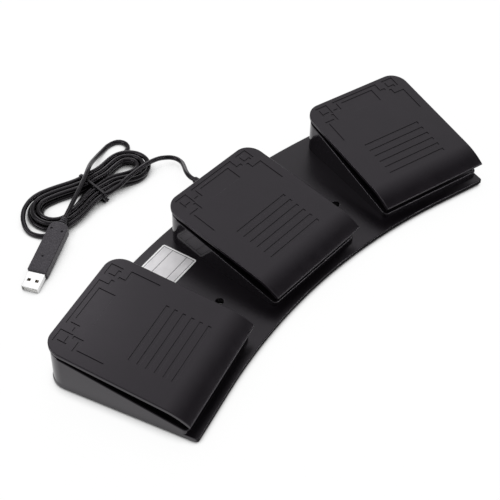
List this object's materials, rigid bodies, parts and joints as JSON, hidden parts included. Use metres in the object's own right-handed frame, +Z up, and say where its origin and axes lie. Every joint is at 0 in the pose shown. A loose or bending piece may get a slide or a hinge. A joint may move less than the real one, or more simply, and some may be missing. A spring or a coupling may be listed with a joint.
{
  "type": "usb foot pedal switch",
  "caption": "Fan-shaped USB foot switch with three sloping hinged pedals in satin black plastic, a blank label, screw fixing holes and a black cable tied in a hank.",
  "frame": {"origin": "on the floor under the middle of the housing, cord left out", "axes": "+X to the right across the pedals, +Y to the back, where the cable leaves, +Z up"},
  "size_m": [0.3672, 0.2384, 0.037],
  "materials": {
    "housing_abs": "satin",
    "pedal_abs": "satin",
    "cover_abs": "matte",
    "foot_rubber": "matte",
    "black_screws": "satin",
    "steel": "satin",
    "switch_plastic": "matte",
    "plunger_plastic": "satin",
    "board_laminate": "satin",
    "chip_epoxy": "matte",
    "nylon": "satin",
    "wire_pvc": "satin",
    "label_film": "satin",
    "cable_pvc": "satin",
    "tie_wire": "satin",
    "plug_pvc": "satin",
    "plug_steel": "polished",
    "plug_plastic": "satin",
    "gold_contact": "polished"
  },
  "bodies": {
    "housing": {"base_housing": "housing_abs", "bottom_cover": "cover_abs", "rubber_feet": "foot_rubber", "cover_screws": "black_screws", "left_hinge_pin": "steel", "left_return_spring": "steel", "left_switch_body": "switch_plastic", "centre_hinge_pin": "steel", "centre_return_spring": "steel", "centre_switch_body": "switch_plastic", "right_hinge_pin": "steel", "right_return_spring": "steel", "right_switch_body": "switch_plastic", "left_switch_board": "board_laminate", "controller_board": "board_laminate", "right_switch_board": "board_laminate", "board_screws": "steel", "controller_chip": "chip_epoxy", "cable_header": "nylon", "left_switch_lead": "wire_pvc", "right_switch_lead": "wire_pvc", "pedal_bumpers": "foot_rubber", "label": "label_film", "strain_relief": "cable_pvc", "cable_tail": "cable_pvc", "cable_lead": "cable_pvc", "cable_hank": "cable_pvc", "plug_lead": "cable_pvc", "hank_tie": "tie_wire", "plug_body": "plug_pvc", "plug_shell": "plug_steel", "plug_insert": "plug_plastic", "plug_contacts": "gold_contact"},
    "left_pedal_body": {"left_pedal": "pedal_abs"},
    "left_plunger_body": {"left_switch_plunger": "plunger_plastic"},
    "centre_pedal_body": {"centre_pedal": "pedal_abs"},
    "centre_plunger_body": {"centre_switch_plunger": "plunger_plastic"},
    "right_pedal_body": {"right_pedal": "pedal_abs"},
    "right_plunger_body": {"right_switch_plunger": "plunger_plastic"}
  },
  "joints": [
    {"name": "left_press", "type": "hinge", "parent": "housing", "child": "left_pedal_body", "pos_m": [-0.14015, 0.03553, 0.02966], "axis": [0.9655, 0.2605, 0], "range_deg": [0, 3.2], "stiffness_Nm_per_rad": 2, "springref_deg": -3.44, "deforming": ["left_return_spring"]},
    {"name": "left_plunge", "type": "slide", "parent": "housing", "child": "left_plunger_body", "axis": [0, 0, -1], "range_m": [0, 0.0018]},
    {"name": "centre_press", "type": "hinge", "parent": "housing", "child": "centre_pedal_body", "pos_m": [0, 0.0541, 0.02966], "axis": [1, 0, 0], "range_deg": [0, 3.2], "stiffness_Nm_per_rad": 2, "springref_deg": -3.44, "deforming": ["centre_return_spring"]},
    {"name": "centre_plunge", "type": "slide", "parent": "housing", "child": "centre_plunger_body", "axis": [0, 0, -1], "range_m": [0, 0.0018]},
    {"name": "right_press", "type": "hinge", "parent": "housing", "child": "right_pedal_body", "pos_m": [0.14015, 0.03553, 0.02966], "axis": [0.9655, -0.2605, 0], "range_deg": [0, 3.2], "stiffness_Nm_per_rad": 2, "springref_deg": -3.44, "deforming": ["right_return_spring"]},
    {"name": "right_plunge", "type": "slide", "parent": "housing", "child": "right_plunger_body", "axis": [0, 0, -1], "range_m": [0, 0.0018]}
  ],
  "couplings": [
    {"joint": "left_plunge", "follows": "left_press", "m_per_rad": 0.03},
    {"joint": "centre_plunge", "follows": "centre_press", "m_per_rad": 0.03},
    {"joint": "right_plunge", "follows": "right_press", "m_per_rad": 0.03}
  ]
}
